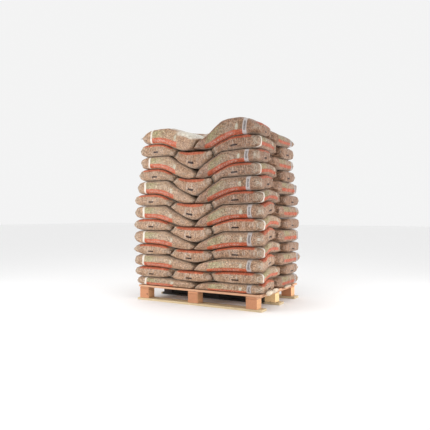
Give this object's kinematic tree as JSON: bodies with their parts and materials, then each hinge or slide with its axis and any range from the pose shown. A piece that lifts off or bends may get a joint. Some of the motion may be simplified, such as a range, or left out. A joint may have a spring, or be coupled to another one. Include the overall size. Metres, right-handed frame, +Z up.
{
  "type": "loaded pallet of sacks",
  "caption": "Wooden nine-block pallet loaded with layers of clear-film sacks of wood pellets, five to a layer, laid crosswise in turn.",
  "frame": {"origin": "on the floor, under the middle of the pallet's bottom boards", "axes": "+Z up; +X along the pallet's 1200 mm side; -Y is the long side that shows two sacks end to end in the odd layers"},
  "size_m": [1.258, 0.84, 1.5223],
  "materials": {
    "film_over_pellets": "clear film, glossy and creased, over tan wood pellets",
    "deck_wood": "sawn softwood, pale",
    "block_wood": "sawn softwood block, reddish",
    "bottom_wood": "sawn softwood, weathered"
  },
  "bodies": {
    "root": {"bottom_board_front": "bottom_wood", "bottom_board_middle": "bottom_wood", "bottom_board_back": "bottom_wood", "block_front_left": "block_wood", "block_front_middle": "block_wood", "block_front_right": "block_wood", "block_middle_left": "block_wood", "block_middle_middle": "block_wood", "block_middle_right": "block_wood", "block_back_left": "block_wood", "block_back_middle": "block_wood", "block_back_right": "block_wood", "cross_board_left": "deck_wood", "cross_board_middle": "deck_wood", "cross_board_right": "deck_wood", "deck_board_1": "deck_wood", "deck_board_2": "deck_wood", "deck_board_3": "deck_wood", "deck_board_4": "deck_wood", "deck_board_5": "deck_wood", "sack_layer_01": "film_over_pellets", "sack_layer_02": "film_over_pellets", "sack_layer_03": "film_over_pellets", "sack_layer_04": "film_over_pellets", "sack_layer_05": "film_over_pellets", "sack_layer_06": "film_over_pellets", "sack_layer_07": "film_over_pellets", "sack_layer_08": "film_over_pellets", "sack_layer_09": "film_over_pellets", "sack_layer_10": "film_over_pellets", "sack_layer_11": "film_over_pellets", "sack_layer_12": "film_over_pellets", "sack_layer_13": "film_over_pellets"}
  },
  "joints": []
}
